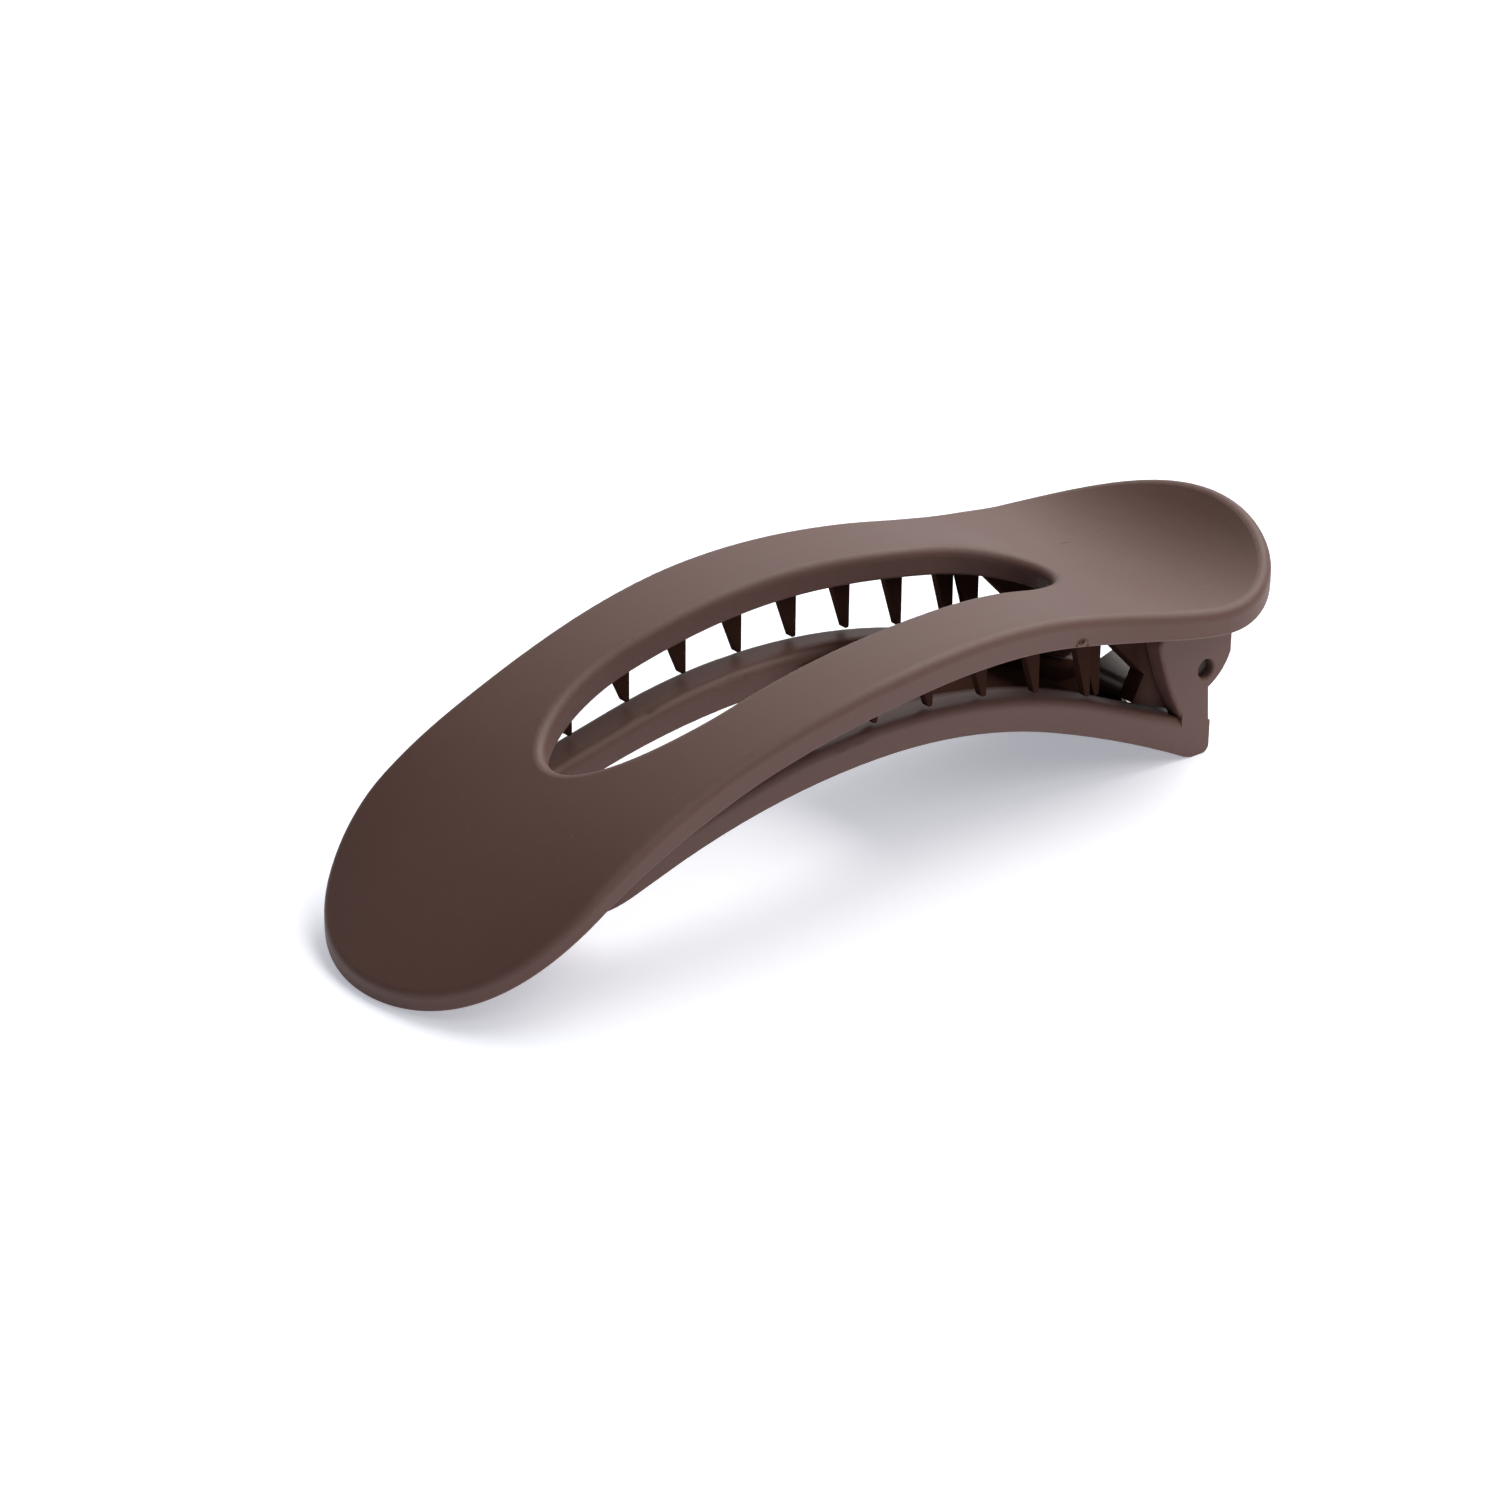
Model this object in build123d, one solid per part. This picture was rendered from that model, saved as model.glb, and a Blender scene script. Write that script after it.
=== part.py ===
from build123d import *
import os
from math import cos, radians, sin, sqrt

# A duckbill hair clip, lying closed on its nose and its heel.
# X runs from the nose to the thumb plate, Y across the clip, Z up.
# Lengths are in millimetres and slopes in degrees.
# Places along the clip are measured from the tip of the nose; the finished parts are centred on the origin.

# Upper jaw, seen from above
clip_length = 105.0
nose_half_width = 16.3
nose_round_length = 14.5
neck_half_width = 16.1
neck_from_nose = 26.0
belly_half_width = 16.7
belly_from_nose = 48.0
waist_half_width = 15.7
waist_from_nose = 79.0
thumb_half_width = 16.8
thumb_round_length = 14.5

# Upper jaw, seen from the side: radii of the arcs of its top line, and the slopes where they meet
nose_top_height = 1.7
nose_slope = 39.5
nose_arc_radius = 150.0
shoulder_slope = 35.0
arch_radius = 81.5
waist_slope = -12.0
waist_radius = 300.0
saddle_slope = -9.0
tail_arc_radius = 21.5
tail_slope = 34.0
crown_radius = 42.0
crown_length = 20.0
plate_thickness = 2.9
nose_thickness = 1.52
nose_taper_length = 28.0
rim_round = 1.0
under_round = 0.25

# Window of the upper jaw
window_start = 22.1
window_end = 80.6
window_front_round = 14.5
window_half_width = 7.8
window_flank_from_nose = 58.0
window_flank_half_width = 7.25
window_back_round = 8.2
window_back_half_width = 6.2

# Dish of the thumb plate
dish_depth = 1.5
dish_start_from_nose = 76.0
dish_full_from_nose = 91.0

# Teeth under the two long sides of the window
tooth_count = 8
tooth_first = 29.5
tooth_pitch = 6.75
tooth_root = 3.0
tooth_tip = 0.5
tooth_tip_round = 0.2
tooth_thickness = 0.85
tooth_row_half_width = 10.0
tooth_gap = 0.35
last_tooth_from_nose = 78.9
last_tooth_root = 3.4
last_tooth_half_width = 8.85

# Lower jaw, seen from the side: radii of the arcs of its two lines, and the slopes where they meet
arm_half_width = 11.0
arm_width = 4.5
crest_from_nose = 51.2
arm_top_height = 15.2
arm_depth = 3.1
top_front_radius = 68.0
top_front_slope = 13.0
top_rear_radius = 72.0
top_rear_slope = -25.0
top_heel_radius = 150.0
top_heel_slope = -20.0
bottom_front_radius = 82.0
bottom_front_slope = 18.0
bottom_tip_radius = 300.0
bottom_tip_slope = 15.0
bottom_rear_radius = 64.0
bottom_rear_slope = -20.0
bottom_heel_radius = 150.0
bottom_heel_slope = -27.5
arm_round = 1.0
jaw_tip_from_nose = 13.0
jaw_tip_margin = 1.0
jaw_tip_round_length = 9.0
jaw_gap = 0.3
frame_window_start = 23.0
frame_window_end = 60.0
frame_window_round = 5.0
heel_from_nose = 94.4
heel_foot = 2.4
heel_round = 0.8
web_thickness = 1.9
web_height = 2.3
web_arch_end_from_nose = 85.0
web_level_from_nose = 90.0

# Hinge
pin_from_nose = 93.5
pin_height = 9.2
pin_diameter = 2.0
pin_clearance = 0.06
pin_recess = 0.8
cheek_thickness = 2.0
cheek_foot_from_nose = 90.5
cheek_top_from_nose = 86.7
cheek_back_from_nose = 97.0
cheek_back_height = 10.2
cheek_radius = 5.2
cheek_bend = 0.4
cheek_round = 0.4
cheek_corner_round = 1.2
bore_mouth_round = 0.3
notch_height = 7.0
notch_depth = 0.25
lug_gap = 0.25
lug_thickness = 2.0
lug_radius = 3.3
lug_front_from_nose = 79.4
lug_back_from_nose = 96.6
lug_elbow_from_nose = 87.2
lug_elbow_height = 9.6
lug_toe_from_nose = 85.75
lug_heel_from_nose = 91.2
lug_toe_gap = 0.3
lug_root = 0.8

# Spring strip, from its front tip on the heel's floor round the back of the pin to the thumb plate
spring_thickness = 0.5
spring_width = 5.2
spring_gap = 0.2
spring_seat_from_nose = 94.2
spring_front_from_nose = 90.6
spring_curl_height = 5.1
spring_back_from_nose = 96.8
spring_back_height = 7.0
spring_shoulder_from_nose = 98.6
spring_end_from_nose = 101.4
spring_bend = 1.1

# How finely the jaw's surfaces are laid out, how far cutters reach past what they cut,
# and how close counts as touching
sheet_stations = 48
floor_stations = 6
sheet_lanes = 8
cut_margin = 2.0
touching = 0.03


def arc_chain(start, slope, stretches):
    """Tangent arcs in the side view, each given by its radius and the slope where it ends."""
    edges = []
    for radius, end_slope in stretches:
        heading = (cos(radians(slope)), sin(radians(slope)))
        edges.append(JernArc(start, heading, radius, end_slope - slope))
        start = edges[-1] @ 1
        slope = end_slope
    return edges


def crest_chain(crest_height, front, rear):
    """Arcs through a level crest, listed outwards from it as radius and end slope on each side."""
    x, z, slope = crest_from_nose, crest_height, 0.0
    stretches = list(rear)
    for radius, end_slope in front:
        x -= radius * abs(sin(radians(end_slope)) - sin(radians(slope)))
        z -= radius * abs(cos(radians(slope)) - cos(radians(end_slope)))
        stretches.insert(0, (radius, slope))
        slope = end_slope
    return arc_chain((x, z), slope, stretches)


def height_at(edges, x):
    """Height of a chain of arcs at one distance from the nose; past its ends the chain runs straight on."""
    for end, heading in ((edges[0] @ 0, edges[0] % 0), (edges[-1] @ 1, edges[-1] % 1)):
        if (x - end.X) * (end.X - (edges[0] @ 1).X) > 0:
            return end.Y + (x - end.X) * heading.Y / heading.X
    for edge in edges:
        if x <= (edge @ 1).X:
            centre = edge.arc_center
            rise = sqrt(edge.radius ** 2 - (x - centre.X) ** 2)
            return centre.Y + (rise if (edge @ 0.5).Y > centre.Y else -rise)


def steepness_at(edges, x):
    """Rise of a chain of arcs per unit of length at one distance from the nose."""
    step = 0.05
    return (height_at(edges, x + step) - height_at(edges, x - step)) / (2 * step)


top_line = arc_chain(
    (0, nose_top_height),
    nose_slope,
    [
        (nose_arc_radius, shoulder_slope),
        (arch_radius, waist_slope),
        (waist_radius, saddle_slope),
        (tail_arc_radius, tail_slope),
    ],
)


def no_depth(x):
    return 0.0


def smooth_step(x, start, full):
    """Share that grows gently from nothing at one place to all at another."""
    share = min(1.0, max(0.0, (x - start) / (full - start)))
    return share ** 2 * (3 - 2 * share)


def plate_thickness_at(x):
    """Thickness of the upper jaw, thin at the nose and full behind it."""
    return nose_thickness + (plate_thickness - nose_thickness) * smooth_step(x, 0.0, nose_taper_length)


def under_height_at(x, distance=0.0):
    """Height at some distance below the upper jaw's underside."""
    depth = plate_thickness_at(x) + distance
    return height_at(top_line, x) - depth * sqrt(1 + steepness_at(top_line, x) ** 2)


arm_top = crest_chain(
    arm_top_height,
    [(top_front_radius, top_front_slope)],
    [(top_rear_radius, top_rear_slope), (top_heel_radius, top_heel_slope)],
)
tip_start_x = jaw_tip_from_nose - jaw_tip_margin
tip_start = (tip_start_x, under_height_at(tip_start_x, jaw_gap))
tip_arc = TangentArc(arm_top[0] @ 0, tip_start, tangent=-(arm_top[0] % 0))
arm_top.insert(0, Edge.make_three_point_arc(tip_arc @ 1, tip_arc @ 0.5, tip_arc @ 0))
arm_bottom = crest_chain(
    arm_top_height - arm_depth,
    [(bottom_front_radius, bottom_front_slope), (bottom_tip_radius, bottom_tip_slope)],
    [(bottom_rear_radius, bottom_rear_slope), (bottom_heel_radius, bottom_heel_slope)],
)
arm_inner_half_width = arm_half_width - arm_width
pin_place = (pin_from_nose, pin_height)


def side_solid(outline, y_from, y_to):
    """Solid between two places across the clip, from an outline in the side view."""
    return extrude(Pos(0, y_to, 0) * (Plane.XZ * outline), y_to - y_from)


def both_sides(solid):
    return [solid, mirror(solid, Plane.XZ)]


def bore(radius):
    """Cutter along the hinge axis."""
    return Pos(pin_from_nose, 0, pin_height) * Rot(90, 0, 0) * Cylinder(radius, 4 * arm_half_width)


def dish_depth_at(x, y):
    """How far the thumb plate's scoop lies below its rim; the scoop fades out towards the window."""
    behind = max(0.0, x - (clip_length - thumb_round_length))
    within = 1 - (behind / thumb_round_length) ** 2 - (y / thumb_half_width) ** 2
    return dish_depth * smooth_step(x, dish_start_from_nose, dish_full_from_nose) * within


def no_dish(x, y):
    return 0.0


def jaw_sheet(depth_at, dish_at):
    """Smooth sheet along the top line, sunk by a depth, crowned across the nose and scooped by a dish."""
    half_width = jaw_outline().bounding_box().max.Y + cut_margin
    rows = []
    for i in range(sheet_stations + 1):
        x = -cut_margin + (clip_length + 2 * cut_margin) * i / sheet_stations
        steepness = steepness_at(top_line, x)
        stretch = sqrt(1 + steepness ** 2)
        fade = max(0.0, 1 - max(x, 0.0) / crown_length)
        sunk_x = x + depth_at(x) * steepness / stretch
        sunk_z = height_at(top_line, x) - depth_at(x) / stretch
        row = []
        for j in range(sheet_lanes + 1):
            y = half_width * (2 * j / sheet_lanes - 1)
            crown_drop = fade ** 2 * y ** 2 / (2 * crown_radius)
            row.append(Vector(sunk_x, y, sunk_z - crown_drop - dish_at(sunk_x, y)))
        rows.append(row)
    return Face.make_surface_from_array_of_points(rows, tol=0.01, min_deg=3, max_deg=6)


def rim_edges(solid, sheet):
    """Edges of a solid that lie in one of the jaw's sheets."""
    found = []
    for edge in solid.edges():
        if max(sheet.distance_to(edge @ t) for t in (0.1, 0.5, 0.9)) < 2 * touching:
            found.append(edge)
    return found


def jaw_outline():
    """Plan of the upper jaw: round nose, slightly waisted sides and round thumb plate."""
    thumb_centre = clip_length - thumb_round_length
    nose = EllipticalCenterArc(
        (nose_round_length, 0), nose_round_length, nose_half_width, start_angle=90, arc_size=90
    )
    side = Spline(
        (nose_round_length, nose_half_width),
        (neck_from_nose, neck_half_width),
        (belly_from_nose, belly_half_width),
        (waist_from_nose, waist_half_width),
        (thumb_centre, thumb_half_width),
        tangents=[(1, 0), (1, 0)],
    )
    thumb = EllipticalCenterArc(
        (thumb_centre, 0), thumb_round_length, thumb_half_width, start_angle=0, arc_size=90
    )
    half = nose + side + thumb
    return make_face(half + mirror(half, Plane.XZ))


def window_outline():
    """Plan of the upper jaw's window: elliptical ends and flanks that draw together towards the hinge."""
    front_end = window_start + window_front_round
    back_start = window_end - window_back_round
    front = EllipticalCenterArc(
        (front_end, 0), window_front_round, window_half_width, start_angle=90, arc_size=90
    )
    flank = Spline(
        (front_end, window_half_width),
        (window_flank_from_nose, window_flank_half_width),
        (back_start, window_back_half_width),
        tangents=[(1, 0), (1, 0)],
    )
    back = EllipticalCenterArc(
        (back_start, 0), window_back_round, window_back_half_width, start_angle=0, arc_size=90
    )
    half = front + flank + back
    return make_face(half + mirror(half, Plane.XZ))


def build_plate():
    """Arched plate of the upper jaw with its window and its dished thumb plate."""
    reach = 2 * clip_length
    top_sheet = jaw_sheet(no_depth, dish_depth_at)
    bottom_sheet = jaw_sheet(plate_thickness_at, no_dish)
    block = Pos(0, 0, -reach / 2) * extrude(jaw_outline(), reach)
    below = min(split(block, bisect_by=top_sheet, keep=Keep.BOTH).solids(), key=lambda v: v.center().Z)
    plate = max(split(below, bisect_by=bottom_sheet, keep=Keep.BOTH).solids(), key=lambda v: v.center().Z)
    plate = (plate - extrude(window_outline(), reach)).solid()
    plate = plate.fillet(rim_round, rim_edges(plate, top_sheet))
    return plate.fillet(under_round, rim_edges(plate, bottom_sheet)).solid()


def tooth(root_from_nose, root_length, half_width):
    """One tooth: a slanted front edge, an upright back edge and a blunt tip just above the lower arm."""
    back = root_from_nose + root_length / 2
    tip_front = back - tooth_tip * root_length / tooth_root
    tip_height = max(height_at(arm_top, back), height_at(arm_top, tip_front)) + tooth_gap
    root_height = under_height_at(root_from_nose) + plate_thickness / 2
    outline = make_face(
        Polyline(
            (back - root_length, root_height),
            (tip_front, tip_height),
            (back, tip_height),
            (back, root_height),
            close=True,
        )
    )
    tips = outline.vertices().sort_by(Axis.Y)[:2]
    inner = half_width - tooth_thickness / 2
    return side_solid(fillet(tips, tooth_tip_round), inner, inner + tooth_thickness)


def lug():
    """Lug under the thumb plate: a slanted front edge, a toe above the arm and a round end about the pin."""
    front = (lug_front_from_nose, under_height_at(lug_front_from_nose))
    elbow = (lug_elbow_from_nose, lug_elbow_height)
    toe = (lug_toe_from_nose, height_at(arm_top, lug_toe_from_nose) + lug_toe_gap)
    heel = (lug_heel_from_nose, height_at(arm_top, lug_heel_from_nose) + lug_toe_gap)
    root_front = (front[0], front[1] + lug_root)
    root_back = (lug_back_from_nose, under_height_at(lug_back_from_nose) + lug_root)
    boss = CenterArc(pin_place, lug_radius, 0, 360)
    upper_web = make_hull([boss, Line(elbow, front), Line(root_front, root_back)])
    lower_web = make_hull([boss, Line(elbow, toe), Line(toe, heel)])
    outer = arm_half_width - cheek_thickness - lug_gap
    return side_solid(upper_web + lower_web, outer - lug_thickness, outer)


def build_upper_jaw():
    """Plate with its teeth and its two lugs, moulded in one piece."""
    jaw = build_plate()
    additions = both_sides(lug())
    for i in range(tooth_count):
        additions += both_sides(tooth(tooth_first + i * tooth_pitch, tooth_root, tooth_row_half_width))
    additions += both_sides(tooth(last_tooth_from_nose, last_tooth_root, last_tooth_half_width))
    window_keep_out = extrude(window_outline(), 2 * clip_length)
    for piece in additions:
        jaw += piece - window_keep_out
    return (jaw - bore(pin_diameter / 2 + pin_clearance)).solid()


def arm_profile():
    """Side view of the lower jaw's arms, from the tip to the heel."""
    heel_top = arm_top[-1] @ 1
    outline = list(arm_top)
    outline.append(Line(heel_top, (heel_from_nose, heel_top.Y)))
    outline.append(Line((heel_from_nose, heel_top.Y), (heel_from_nose, 0)))
    outline.append(Line((heel_from_nose, 0), (heel_from_nose - heel_foot, 0)))
    outline.append(Line((heel_from_nose - heel_foot, 0), arm_bottom[-1] @ 1))
    outline += list(arm_bottom)
    outline.append(Line(arm_bottom[0] @ 0, arm_top[0] @ 0))
    return make_face(outline)


def frame_plan():
    """Plan of the lower jaw, round at its tip."""
    tip = EllipticalCenterArc(
        (jaw_tip_from_nose + jaw_tip_round_length, 0),
        jaw_tip_round_length,
        arm_half_width,
        start_angle=90,
        arc_size=180,
    )
    sides = Polyline(tip @ 1, (clip_length, -arm_half_width), (clip_length, arm_half_width), tip @ 0)
    return make_face([tip, sides])


def frame_opening():
    """Plan of the gap between the lower jaw's arms, round at both ends."""
    ends = []
    for middle, start_angle in (
        (frame_window_start + frame_window_round, 90),
        (frame_window_end - frame_window_round, -90),
    ):
        ends.append(
            EllipticalCenterArc(
                (middle, 0), frame_window_round, arm_inner_half_width, start_angle=start_angle, arc_size=180
            )
        )
    front, back = ends
    return make_face([front, Line(front @ 1, back @ 0), back, Line(back @ 1, front @ 0)])


def web_relief():
    """Space above the thin floor between the arms, which holds the spring strip at the heel."""
    front = frame_window_end - frame_window_round - cut_margin
    back = heel_from_nose + cut_margin
    ceiling = arm_top_height + cut_margin
    floor = []
    for i in range(floor_stations + 1):
        x = front + (web_arch_end_from_nose - front) * i / floor_stations
        floor.append((x, height_at(arm_bottom, x) + web_thickness))
    walls = Polyline(
        floor[-1],
        (web_level_from_nose, web_height),
        (back, web_height),
        (back, ceiling),
        (front, ceiling),
        floor[0],
    )
    return side_solid(make_face([Spline(*floor), walls]), -arm_inner_half_width, arm_inner_half_width)


def cheek():
    """Upright wall outside the lug, round over the pin and notched above the heel."""
    foot = Vector(cheek_foot_from_nose, height_at(arm_top, cheek_foot_from_nose))
    top = Vector(pin_from_nose, pin_height + cheek_radius)
    front_top = Vector(cheek_top_from_nose, top.Y)
    back_reach = cheek_back_from_nose - pin_from_nose
    shoulder = Vector(cheek_back_from_nose, pin_height + sqrt(cheek_radius ** 2 - back_reach ** 2))
    bulge = Vector(cheek_back_from_nose, cheek_back_height)
    notch = Vector(heel_from_nose - notch_depth, notch_height)
    heel_top = Vector(heel_from_nose, (arm_top[-1] @ 1).Y)
    root = Vector(0, arm_depth / 2)
    front_middle = (foot + front_top) / 2 - Vector(cheek_bend, cheek_bend / 2)
    outline = make_face(
        [
            Line(foot - root, foot),
            ThreePointArc(foot, front_middle, front_top),
            Line(front_top, top),
            RadiusArc(top, shoulder, cheek_radius),
            Line(shoulder, bulge),
            SagittaArc(bulge, notch, cheek_bend),
            Line(notch, heel_top),
            Line(heel_top, heel_top - root),
            Line(heel_top - root, foot - root),
        ]
    )
    front_corner = outline.vertices().sort_by_distance((front_top.X, front_top.Y, 0))[0]
    rounded = fillet(front_corner, cheek_corner_round)
    wall = side_solid(rounded, arm_half_width - cheek_thickness, arm_half_width).solid()
    outer_edges = wall.faces().sort_by(Axis.Y)[-1].edges()
    return wall.fillet(cheek_round, [edge for edge in outer_edges if edge.center().Z > foot.Y])


def on_arm_top(edge):
    """True for the long edges along the top of the arms and round their two front ends."""
    places = [edge @ t for t in (0.05, 0.5, 0.95)]
    on_line = all(abs(v.Z - height_at(arm_top, v.X)) < touching for v in places)
    across = edge.geom_type == GeomType.LINE
    return on_line and not across and edge.length > 2 * arm_round and places[1].X < (arm_top[-1] @ 1).X


def on_bore_mouth(edge):
    """True for the round edges where the pin's bore opens on the outer faces of the cheeks."""
    if edge.geom_type != GeomType.CIRCLE or abs(edge.radius - pin_diameter / 2) > touching:
        return False
    return abs(abs(edge.arc_center.Y) - arm_half_width) < touching


def build_lower_jaw():
    """Frame of two arms with a floor and two cheeks at the heel, moulded in one piece."""
    jaw = side_solid(arm_profile(), -arm_half_width, arm_half_width)
    jaw = (jaw & extrude(frame_plan(), clip_length)).solid()
    jaw = (jaw - extrude(frame_opening(), clip_length) - web_relief()).solid()
    jaw = jaw.fillet(arm_round, [edge for edge in jaw.edges() if on_arm_top(edge)])
    jaw = jaw.fillet(heel_round, jaw.edges().sort_by_distance((heel_from_nose, 0, 0))[:1])
    for piece in both_sides(cheek()):
        jaw += piece
    jaw = (jaw - bore(pin_diameter / 2)).solid()
    return jaw.fillet(bore_mouth_round, [edge for edge in jaw.edges() if on_bore_mouth(edge)])


def build_pin():
    """Steel pin pressed into the two cheeks, its ends just inside their outer faces."""
    pin = Cylinder(pin_diameter / 2, 2 * (arm_half_width - pin_recess))
    return Pos(pin_from_nose, 0, pin_height) * Rot(90, 0, 0) * pin


def build_spring():
    """Strip that lies on the heel's floor, curls back under the pin and bears on the thumb plate."""
    clearance = spring_gap + spring_thickness / 2
    floor = web_height + clearance
    path = FilletPolyline(
        (spring_seat_from_nose, floor),
        (spring_front_from_nose, floor),
        (spring_front_from_nose, spring_curl_height),
        (spring_back_from_nose, spring_back_height),
        (spring_shoulder_from_nose, under_height_at(spring_shoulder_from_nose, clearance)),
        (spring_end_from_nose, under_height_at(spring_end_from_nose, clearance)),
        radius=spring_bend,
    )
    start = Plane(origin=path @ 0, z_dir=path % 0, x_dir=(0, 0, 1))
    section = start * Rectangle(spring_width, spring_thickness)
    return Plane.XZ * sweep(section, path)


def save(piece, name):
    """Write one part, moved so that the middle of the clip's length is at the origin."""
    export_step(Pos(-clip_length / 2, 0, 0) * piece, f"parts/{name}.step")


os.makedirs("parts", exist_ok=True)
save(build_upper_jaw(), "upper_jaw")
save(build_lower_jaw(), "lower_jaw")
save(build_pin(), "hinge_pin")
save(build_spring(), "spring")
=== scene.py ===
# A duckbill hair clip of cocoa-brown plastic, lying closed on a white table.
# Lengths are in metres. X runs from the nose to the thumb plate, Y along the hinge pin, Z up.

import math

import bmesh
import bpy
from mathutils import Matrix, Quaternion, Vector


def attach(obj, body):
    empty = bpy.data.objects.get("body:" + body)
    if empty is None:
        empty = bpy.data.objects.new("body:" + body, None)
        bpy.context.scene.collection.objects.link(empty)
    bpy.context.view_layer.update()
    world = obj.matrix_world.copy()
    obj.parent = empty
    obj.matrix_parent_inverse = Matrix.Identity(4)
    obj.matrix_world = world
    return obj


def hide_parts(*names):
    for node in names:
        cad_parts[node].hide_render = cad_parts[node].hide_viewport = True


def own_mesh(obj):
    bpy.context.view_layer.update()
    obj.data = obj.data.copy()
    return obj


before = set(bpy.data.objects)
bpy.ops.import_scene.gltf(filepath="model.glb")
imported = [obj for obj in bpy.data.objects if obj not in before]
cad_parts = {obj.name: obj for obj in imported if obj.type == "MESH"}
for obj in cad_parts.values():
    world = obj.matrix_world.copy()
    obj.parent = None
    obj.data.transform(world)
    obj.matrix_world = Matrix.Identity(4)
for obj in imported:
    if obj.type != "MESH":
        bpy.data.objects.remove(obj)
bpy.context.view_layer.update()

# Camera
# It stands in front of the nose and to one side, looks down on the clip and has a long lens.
# Its place and its three angles give the clip the same perspective as in the photograph.
camera_place = Vector((-0.24873, -0.29327, 0.19363))
camera_turn = math.radians(39.393)
camera_drop = math.radians(25.735)
camera_roll = math.radians(0.59)
looking = Vector(
    (
        math.sin(camera_turn) * math.cos(camera_drop),
        math.cos(camera_turn) * math.cos(camera_drop),
        -math.sin(camera_drop),
    )
)
camera_data = bpy.data.cameras.new("camera")
camera_data.lens = 108
camera_data.sensor_width = 36
camera_data.clip_start = 0.01
camera = bpy.data.objects.new("camera", camera_data)
camera.location = camera_place
level_view = looking.to_track_quat("-Z", "Y")
camera.rotation_euler = (level_view @ Quaternion((0, 0, 1), camera_roll)).to_euler()
bpy.context.scene.collection.objects.link(camera)
bpy.context.scene.camera = camera

# Upper jaw
# One moulding of matte plastic: the arched plate, its window, the teeth, the lugs and the thumb plate.
# The mould leaves it a fine even grain and faint lines along the flow of the plastic.
# Its underside and teeth get painted shade: a deeper colour with no gloss where the clip's own shade
# falls.


class Shade:
    """A value or colour on its way through a finish; arithmetic on it adds Math nodes."""

    def __init__(self, finish, socket):
        self.finish = finish
        self.socket = socket

    def math(self, operation, *others):
        """Add a Math node whose first value is this one."""
        sockets = dict(enumerate((self, *others)))
        return self.finish.node("ShaderNodeMath", {"operation": operation}, sockets)

    def __add__(self, other):
        return self.math("ADD", other)

    def __sub__(self, other):
        return self.math("SUBTRACT", other)

    def __rsub__(self, other):
        return self.math("MULTIPLY_ADD", -1.0, other)

    def __mul__(self, other):
        return self.math("MULTIPLY", other)

    __radd__ = __add__
    __rmul__ = __mul__

    def above(self, limit, fade):
        """One where the value is above a limit and nothing below it, with a short fade between."""
        share = (self - (limit - fade / 2)).math("DIVIDE", fade)
        return share.math("MAXIMUM", 0.0).math("MINIMUM", 1.0)


class Finish:
    """A procedural material, built node by node round its Principled shader."""

    def __init__(self, name):
        self.material = bpy.data.materials.new(name)
        self.material.use_nodes = True
        self.tree = self.material.node_tree
        self.shader = self.tree.nodes["Principled BSDF"]
        self.place = self.node("ShaderNodeTexCoord", {}, {}, output="Object")

    def node(self, kind, settings, sockets, output=0):
        """Add a node: its settings first, then the values or links of its sockets."""
        node = self.tree.nodes.new(kind)
        for name, value in settings.items():
            setattr(node, name, value)
        self.plug(node, sockets)
        return Shade(self, node.outputs[output])

    def plug(self, node, sockets):
        """Set or link sockets of a node, each given by its name or number."""
        for name, value in sockets.items():
            if isinstance(value, Shade):
                self.tree.links.new(value.socket, node.inputs[name])
            else:
                node.inputs[name].default_value = value

    def coordinate(self, axis):
        """One of the three object coordinates, in metres."""
        return self.node("ShaderNodeSeparateXYZ", {}, {"Vector": self.place}, output=axis)

    def distance(self, point):
        """How far each place is from a point, in metres."""
        sockets = {0: self.place, 1: point}
        return self.node("ShaderNodeVectorMath", {"operation": "DISTANCE"}, sockets, output="Value")

    def stretched(self, along=1.0, across=1.0, upright=1.0):
        """Object coordinates on which a pattern is drawn out in some directions."""
        sockets = {"Vector": self.place, "Scale": (along, across, upright)}
        return self.node("ShaderNodeMapping", {"vector_type": "TEXTURE"}, sockets)

    def noise(self, size, detail=2.0, vector=None):
        """Soft noise between 0 and 1 whose blotches are about one size across."""
        sockets = {"Vector": vector or self.place, "Scale": 1 / size, "Detail": detail}
        return self.node("ShaderNodeTexNoise", {}, sockets, output="Fac")

    def blend(self, share, first, second):
        """Colour between two colours; sockets 0, 6 and 7 of a Mix node are its factor and colours."""
        sockets = {0: share, 6: first, 7: second}
        return self.node("ShaderNodeMix", {"data_type": "RGBA"}, sockets, output=2)

    def bump(self, height, depth, normal=None):
        """Relief of a depth in metres, laid over any relief that is there already."""
        sockets = {"Height": height, "Distance": depth, "Strength": 1.0}
        if normal:
            sockets["Normal"] = normal
        return self.node("ShaderNodeBump", {}, sockets)

    def paint_shade_and_nick(self, share, colour):
        """Fade over to painted shade, a dull, deep colour with no gloss, where the share is one."""
        shade_shader_sockets = {"Base Color": colour, "Roughness": 0.8, "Specular IOR Level": 0.0}
        dull = self.node("ShaderNodeBsdfPrincipled", {}, shade_shader_sockets)
        lit = Shade(self, self.shader.outputs[0])
        mixed = self.node("ShaderNodeMixShader", {}, {0: share, 1: lit, 2: dull})
        self.plug(self.tree.nodes["Material Output"], {"Surface": mixed})


def wear(node, finish):
    """Give every face of a CAD node one finish."""
    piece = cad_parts[node]
    piece.data.materials.clear()
    piece.data.materials.append(finish.material)


cocoa = (0.108, 0.054, 0.043, 1)
cocoa_pale = (0.130, 0.067, 0.054, 1)
cocoa_dust = (0.190, 0.130, 0.115, 1)
# The deepest colour is painted shade for the jaws' inner faces, and also the nick's own dark colour.
cocoa_painted_shade_and_nick = (0.040, 0.018, 0.013, 1)


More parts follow.
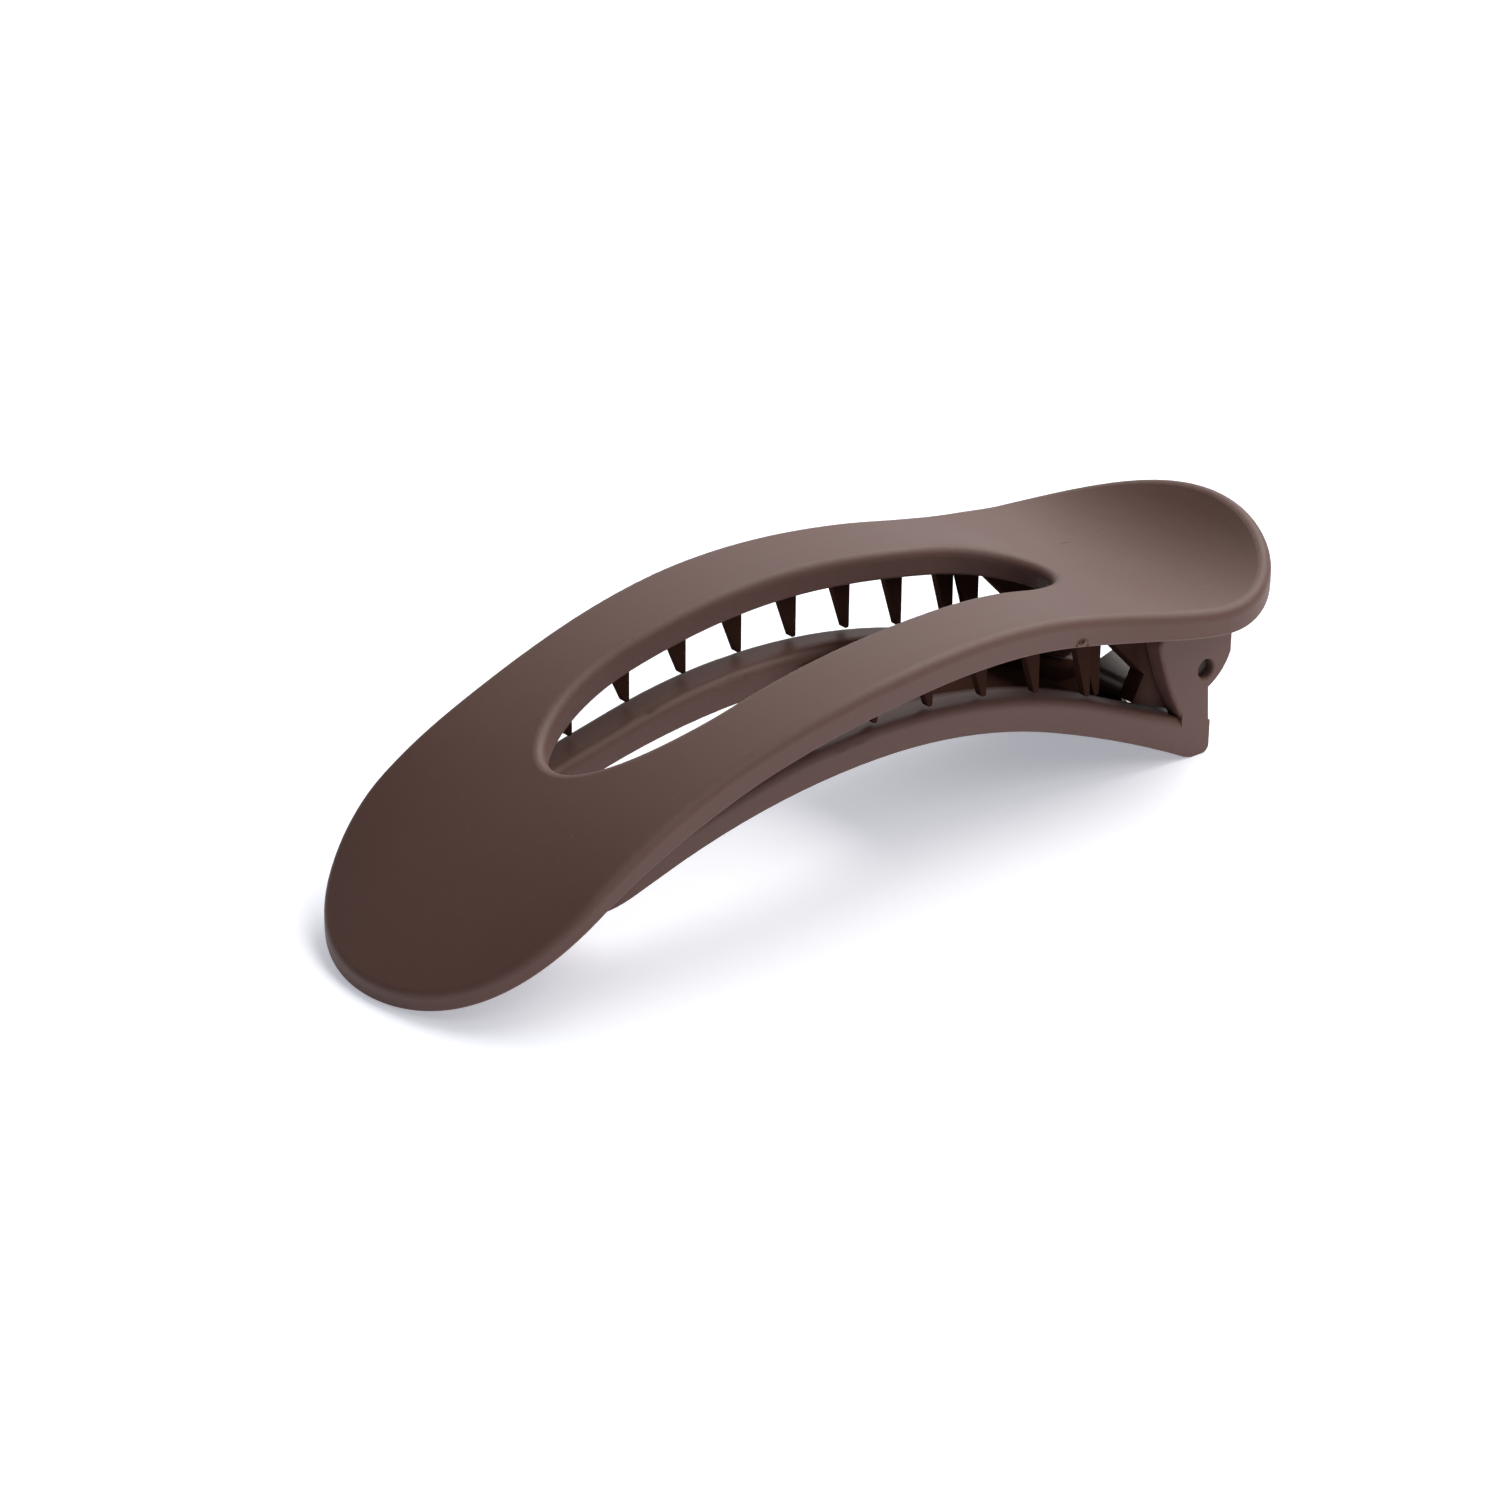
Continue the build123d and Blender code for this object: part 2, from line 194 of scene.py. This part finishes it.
def jaw_plastic(name, painted_shade_and_nick_of):
    """Cocoa-brown plastic with moulded grain, flow lines and pale specks, and with painted shade
    inside: a deeper colour there.
    """
    finish = Finish(name)
    cloud = finish.noise(size=0.018, detail=3.0)
    flow = finish.noise(size=0.0022, detail=4.0, vector=finish.stretched(along=9.0))
    grain = finish.noise(size=0.00016, detail=3.0)
    speck = finish.noise(size=0.0006, detail=1.0).above(limit=0.77, fade=0.06)
    plain_colour = finish.blend(cloud * 0.7 + flow * 0.2, cocoa, cocoa_pale)
    flow_lines = finish.bump(flow, depth=0.00001)
    sockets = {
        "Base Color": finish.blend(speck * 0.2, plain_colour, cocoa_dust),
        "Roughness": 0.45 + cloud * 0.08 + flow * 0.06 + grain * 0.04,
        "Normal": finish.bump(grain, depth=0.000012, normal=flow_lines),
        "IOR": 1.5,
        "Specular IOR Level": 0.34,
    }
    finish.plug(finish.shader, sockets)
    # Painted shade: where the clip shades itself, the plastic fades to a deep colour with no gloss.
    finish.paint_shade_and_nick(painted_shade_and_nick_of(finish), cocoa_painted_shade_and_nick)
    return finish


# The painted shade reaches up to the plate's lower edge: an arch with its crown a little behind the
# middle.
# It turns up again towards the thumb plate. A curve times the square of the way along gives metres of
# height.
arch_crown = 0.0042
arch_height = 0.0203
arch_curve = 6.5
thumb_start = 0.0254
thumb_curve = 18.7

# The painted shade lies behind the nose's tip and between the plate's sides, but not on the lugs'
# sides.
nose_tip_end = -0.034
inner_half_width = 0.0111
lug_front = 0.0365
lug_half_width = 0.0084

# The small dark nick on the near edge is left where the plastic entered the mould.
nick_place = (0.0196, -0.0158, 0.0190)
nick_radius = 0.001


def painted_shade_under_plate_and_nick(finish):
    """One where shade is painted on the teeth, the underside and the lugs' fronts, and on the nick;
    all look nearly black.
    """
    along = finish.coordinate("X")
    off_middle = finish.coordinate("Y").math("ABSOLUTE")
    height = finish.coordinate("Z")
    off_crown = along - arch_crown
    on_thumb = (along - thumb_start).math("MAXIMUM", 0.0)
    plate_edge = arch_height - off_crown * off_crown * arch_curve + on_thumb * on_thumb * thumb_curve
    below_plate = (plate_edge - height).above(limit=0.0, fade=0.0008)
    behind_tip = along.above(limit=nose_tip_end, fade=0.004)
    beside = off_middle.above(limit=inner_half_width, fade=0.0006)
    behind_lug_front = along.above(limit=lug_front, fade=0.006)
    lug_side = behind_lug_front * off_middle.above(limit=lug_half_width, fade=0.0003)
    # Painted shade: behind the tip, between the sides, off the lugs' sides and below the plate's edge.
    painted_shade_mask = behind_tip * (1 - beside) * (1 - lug_side) * below_plate
    off_nick = finish.distance(nick_place)
    ragged = finish.noise(size=0.0007).above(limit=0.47, fade=0.05)
    nick = (nick_radius - off_nick).above(limit=0.0, fade=0.0004) * ragged
    return painted_shade_mask.math("MAXIMUM", nick)


wear("upper_jaw", jaw_plastic("upper_plastic", painted_shade_under_plate_and_nick))

# Lower jaw
# A second moulding of the same plastic: two arms joined at the tip, a thin heel floor and two cheeks.
# The cheeks stand on either side of the upper jaw's lugs and hold the pin.
# The floor and the inner faces of the cheeks get painted shade, where the clip's own shade falls.
cheek_inner_face = 0.0078
floor_shade_start = 0.004


def painted_shade_behind_gap(finish):
    """One where shade is painted: on the floor between the arms and on the inner faces of the cheeks.
    """
    off_middle = finish.coordinate("Y").math("ABSOLUTE")
    beside = off_middle.above(limit=cheek_inner_face, fade=0.0012)
    # Painted shade on the floor and on the cheeks' inner faces.
    return (1 - beside) * finish.coordinate("X").above(limit=floor_shade_start, fade=0.01)


wear("lower_jaw", jaw_plastic("lower_plastic", painted_shade_behind_gap))

# Hinge pin
# A short rod of drawn steel, pressed into the cheeks with its cut ends just inside their faces.
# Its ends have gone dull and dark.
pin_dark = (0.03, 0.022, 0.018, 1)
pin_grey = (0.09, 0.075, 0.068, 1)


def drawn_steel(name):
    """Dull grey steel with fine lines along the rod."""
    finish = Finish(name)
    lines = finish.noise(size=0.0001, vector=finish.stretched(across=30.0))
    stain = finish.noise(size=0.0008)
    sockets = {
        "Base Color": finish.blend(stain, pin_dark, pin_grey),
        "Metallic": 0.9,
        "Roughness": 0.38 + lines * 0.2,
        "Normal": finish.bump(lines, depth=0.000004),
    }
    finish.plug(finish.shader, sockets)
    return finish


wear("hinge_pin", drawn_steel("pin_steel"))

# Spring
# A strip of bright rolled steel that curls back under the pin and pushes the thumb plate up.
# Rolling leaves fine lines along the strip.
spring_tarnished = (0.62, 0.59, 0.56, 1)
spring_bright = (0.82, 0.80, 0.77, 1)


def rolled_steel(name):
    """Bright spring steel with fine rolling lines and soft tarnish."""
    finish = Finish(name)
    lines = finish.noise(size=0.00012, detail=3.0, vector=finish.stretched(along=25.0, upright=25.0))
    tarnish = finish.noise(size=0.0025, detail=3.0)
    sockets = {
        "Base Color": finish.blend(tarnish, spring_tarnished, spring_bright),
        "Metallic": 1.0,
        "Roughness": 0.32 + lines * 0.16,
        "Normal": finish.bump(lines, depth=0.000003),
    }
    finish.plug(finish.shader, sockets)
    return finish


# The strip has the solid's own shape, merged into one skin.
same_point = 0.000001
spring_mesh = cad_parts["spring"].data.copy()
spring_shape = bmesh.new()
spring_shape.from_mesh(spring_mesh)
bmesh.ops.remove_doubles(spring_shape, verts=spring_shape.verts, dist=same_point)
spring_shape.to_mesh(spring_mesh)
spring_shape.free()
spring_mesh.materials.clear()
spring_mesh.materials.append(rolled_steel("spring_steel").material)
spring_strip = bpy.data.objects.new("spring_strip", spring_mesh)
bpy.context.scene.collection.objects.link(spring_strip)
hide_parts("spring")
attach(spring_strip, "lower")
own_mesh(spring_strip)

# Table
# A plain white top that glows a little, as a lit product table does, so its shadows stay pale.
# It reaches so far that its edge is never seen.
table_reach = 4.0
table_white = (0.86, 0.865, 0.875, 1)
table_glow = (0.87, 0.90, 1.0, 1)
table_mesh = bpy.data.meshes.new("table")
table_shape = bmesh.new()
bmesh.ops.create_grid(table_shape, x_segments=1, y_segments=1, size=table_reach)
table_shape.to_mesh(table_mesh)
table_shape.free()
table = bpy.data.objects.new("table", table_mesh)
bpy.context.scene.collection.objects.link(table)
table_top = Finish("white_table")
table_sockets = {
    "Base Color": table_white,
    "Roughness": 0.9,
    "Emission Color": table_glow,
    "Emission Strength": 0.42,
}
table_top.plug(table_top.shader, table_sockets)
table_mesh.materials.append(table_top.material)

# Light
# A soft box hangs beyond the thumb plate, a white panel stands behind the clip and a weak lamp fills
# the near side of a dim white room.
# The photograph's tones come straight from the light, with no film curve, so the view has none either.
warm_white = (1.0, 0.985, 0.97)
white = (1.0, 1.0, 1.0)
room_white = (0.90, 0.93, 1.0, 1)
room_strength = 0.09


def soft_box(name, place, size, power, colour):
    """A square lamp that faces the table under the middle of the clip."""
    lamp_data = bpy.data.lights.new(name, "AREA")
    lamp_data.shape = "SQUARE"
    lamp_data.size = size
    lamp_data.energy = power
    lamp_data.color = colour
    lamp = bpy.data.objects.new(name, lamp_data)
    lamp.location = place
    lamp.rotation_euler = (-Vector(place)).to_track_quat("-Z", "Y").to_euler()
    bpy.context.scene.collection.objects.link(lamp)


soft_box("key", place=(0.54, 0.0, 0.72), size=0.8, power=9.0, colour=warm_white)
soft_box("back_panel", place=(0.55, 0.55, 0.46), size=0.9, power=3.2, colour=white)
soft_box("near_fill", place=(0.12, -0.64, 0.62), size=0.5, power=2.2, colour=white)
room = bpy.data.worlds.new("white_room")
room.use_nodes = True
room.node_tree.nodes["Background"].inputs["Color"].default_value = room_white
room.node_tree.nodes["Background"].inputs["Strength"].default_value = room_strength
bpy.context.scene.world = room
bpy.context.scene.view_settings.view_transform = "Standard"
